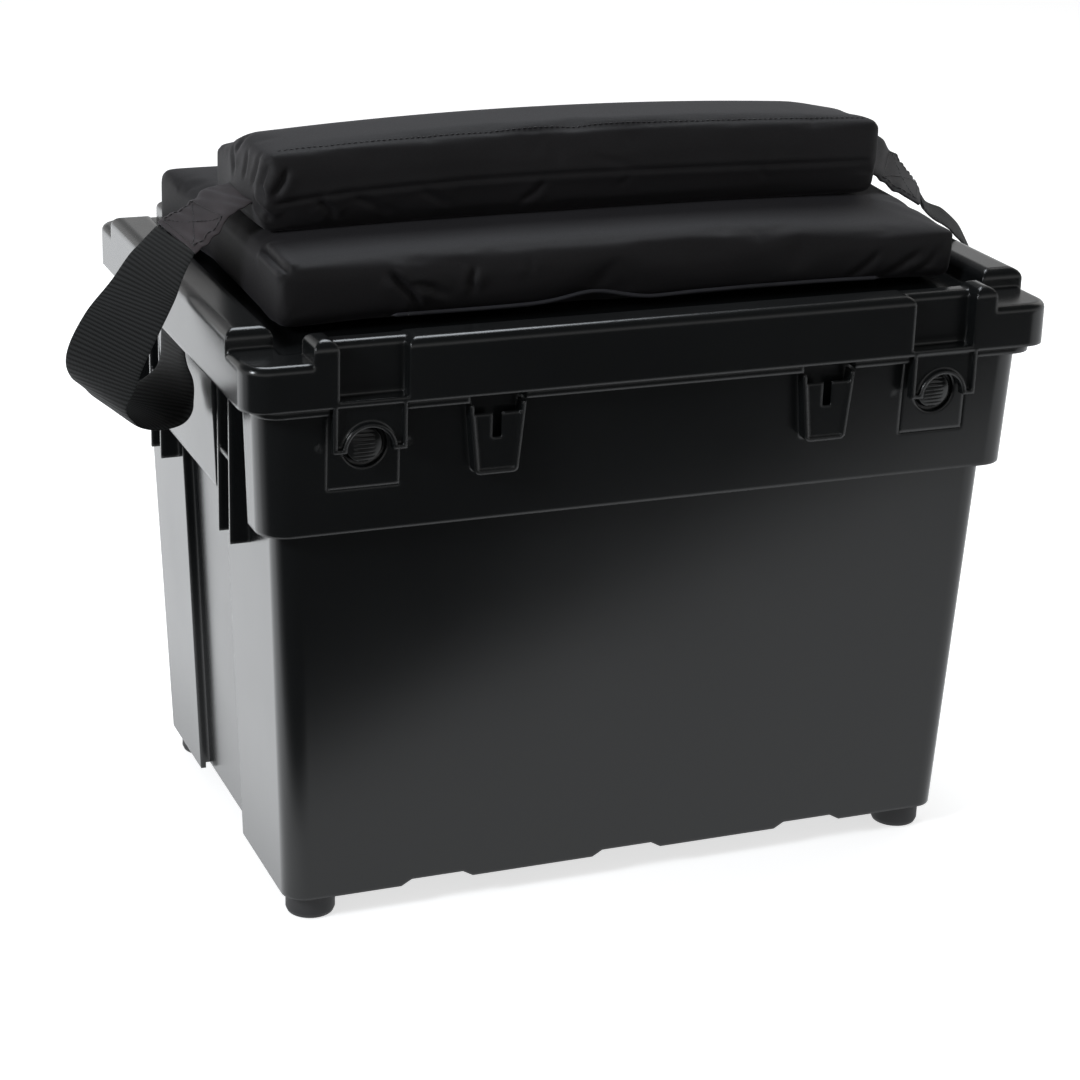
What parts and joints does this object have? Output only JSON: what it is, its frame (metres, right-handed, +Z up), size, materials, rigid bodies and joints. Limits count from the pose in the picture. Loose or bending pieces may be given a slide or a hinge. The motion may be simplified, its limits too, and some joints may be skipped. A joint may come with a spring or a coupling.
{
  "type": "fishing seat box",
  "caption": "Hard plastic box seat with a hinged cushioned lid, push-button latches, a padded webbing carrying strap, accessory pockets on its front and round feet.",
  "frame": {"origin": "middle of the box's footprint, on the ground under the feet", "axes": "+X across the seat to the user's right seen from the front, +Y towards the hinges at the back, +Z up"},
  "size_m": [0.5686, 0.32, 0.4176],
  "materials": {
    "plastic": "black moulded polypropylene, satin, fine spark grain",
    "tray_plastic": "dark grey moulded polypropylene, satin",
    "button_plastic": "black moulded plastic, satin, grooved face",
    "foot_rubber": "black rubber, matt",
    "zinc_steel": "zinc plated steel",
    "cover_cloth": "charcoal woven nylon",
    "tab_cloth": "brownish black woven nylon, stitched",
    "webbing": "black ribbed polypropylene webbing",
    "foam": "open-cell upholstery foam, inside its cover"
  },
  "bodies": {
    "base": {"tub": "plastic", "foot_front_left": "foot_rubber", "foot_front_right": "foot_rubber", "foot_back_left": "foot_rubber", "foot_back_right": "foot_rubber", "latch_plate_left": "plastic", "latch_plate_right": "plastic", "latch_housing_left": "plastic", "latch_housing_right": "plastic", "button_spring_left": "zinc_steel", "button_spring_right": "zinc_steel", "hinge_pin_left": "zinc_steel", "hinge_pin_right": "zinc_steel", "latch_screws": "zinc_steel", "lift_out_tray": "tray_plastic"},
    "lid": {"lid": "plastic", "seat_cushion_cover": "cover_cloth", "seat_foam": "foam", "strap_pad_cover": "cover_cloth", "strap_pad_foam": "foam", "strap_tab_left": "tab_cloth", "strap_tab_right": "tab_cloth", "webbing_left": "webbing", "webbing_right": "webbing", "strap_anchor_left": "zinc_steel", "strap_anchor_right": "zinc_steel", "strap_screws": "zinc_steel"},
    "button_left": {"button_left": "button_plastic"},
    "button_right": {"button_right": "button_plastic"}
  },
  "joints": [
    {"name": "lid_hinge", "type": "hinge", "parent": "base", "child": "lid", "pos_m": [0, 0.153, 0.296], "axis": [-1, 0, 0], "range_deg": [0, 110]},
    {"name": "button_left_press", "type": "slide", "parent": "base", "child": "button_left", "axis": [0, 1, 0], "range_m": [0, 0.004], "stiffness_N_per_m": 1000, "springref_m": -0.003, "deforming": ["button_spring_left"]},
    {"name": "button_right_press", "type": "slide", "parent": "base", "child": "button_right", "axis": [0, 1, 0], "range_m": [0, 0.004], "stiffness_N_per_m": 1000, "springref_m": -0.003, "deforming": ["button_spring_right"]}
  ]
}
